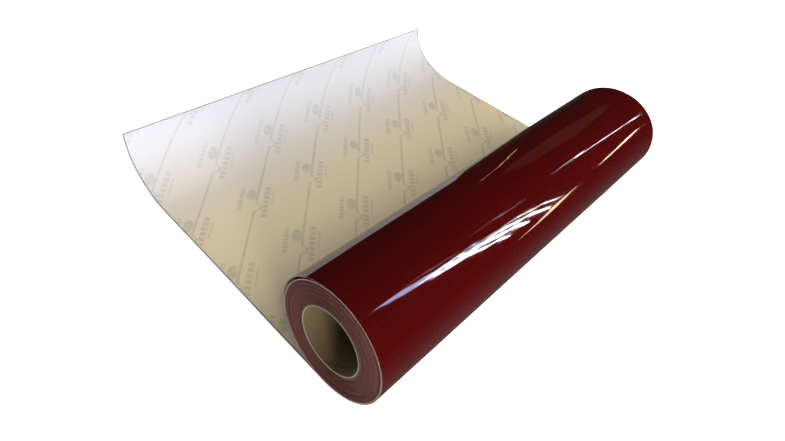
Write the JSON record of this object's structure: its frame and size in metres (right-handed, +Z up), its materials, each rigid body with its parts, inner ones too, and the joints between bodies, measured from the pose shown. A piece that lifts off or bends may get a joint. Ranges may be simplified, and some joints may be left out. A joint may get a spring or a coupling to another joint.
{
  "type": "roll of sign vinyl",
  "caption": "Roll of self-adhesive sign vinyl on a paperboard core, film side out, with the start of the web laid out behind it on its release liner and curling up at the cut end.",
  "frame": {"origin": "middle of the core's bore, on its axis", "axes": "+X along the core, +Y from the roll towards the cut end of the web, +Z up from the floor"},
  "size_m": [0.61, 0.4675, 0.136],
  "materials": {
    "vinyl_film": "gloss burgundy",
    "release_liner": "smooth siliconised paper with a faint grey-green pattern",
    "wound_turns": "cut edges of film and liner, satin",
    "core_board": "grey-brown board",
    "core_ply": "smooth kraft",
    "starter_tape": "pale double-sided tape"
  },
  "bodies": {
    "web_on_floor": {"laid_web_film": "vinyl_film", "laid_web_liner": "release_liner", "pay_out_web_film": "vinyl_film", "pay_out_web_liner": "release_liner"},
    "loose_turn": {"loose_turn_film": "vinyl_film", "loose_turn_liner": "release_liner"},
    "roll": {"core_inner_ply": "core_ply", "core_body": "core_board", "core_outer_ply": "core_ply", "starter_tape": "starter_tape", "inner_turns": "wound_turns", "last_turns_film": "vinyl_film", "last_turns_liner": "release_liner"},
    "free_end": {"free_end_film": "vinyl_film", "free_end_liner": "release_liner"},
    "flap": {"liner_flap": "release_liner"}
  },
  "joints": [
    {"name": "roll_travel", "type": "slide", "parent": "web_on_floor", "child": "loose_turn", "axis": [0, -1, 0], "range_m": [-0.18, 0.4272], "deforming": ["pay_out_web_film", "pay_out_web_liner"]},
    {"name": "roll_spin", "type": "hinge", "parent": "loose_turn", "child": "roll", "pos_m": [0, 0, 0], "axis": [1, 0, 0], "range_deg": [-152, 360]},
    {"name": "free_end_lift", "type": "hinge", "parent": "web_on_floor", "child": "free_end", "pos_m": [0, 0.302, -0.06774], "axis": [1, 0, 0], "range_deg": [0, 60]},
    {"name": "liner_peel", "type": "hinge", "parent": "free_end", "child": "flap", "pos_m": [0, 0.34295, -0.06052], "axis": [1, 0, 0], "range_deg": [0, 90]}
  ],
  "couplings": [
    {"joint": "roll_spin", "follows": "roll_travel", "rad_per_m": 14.706}
  ]
}
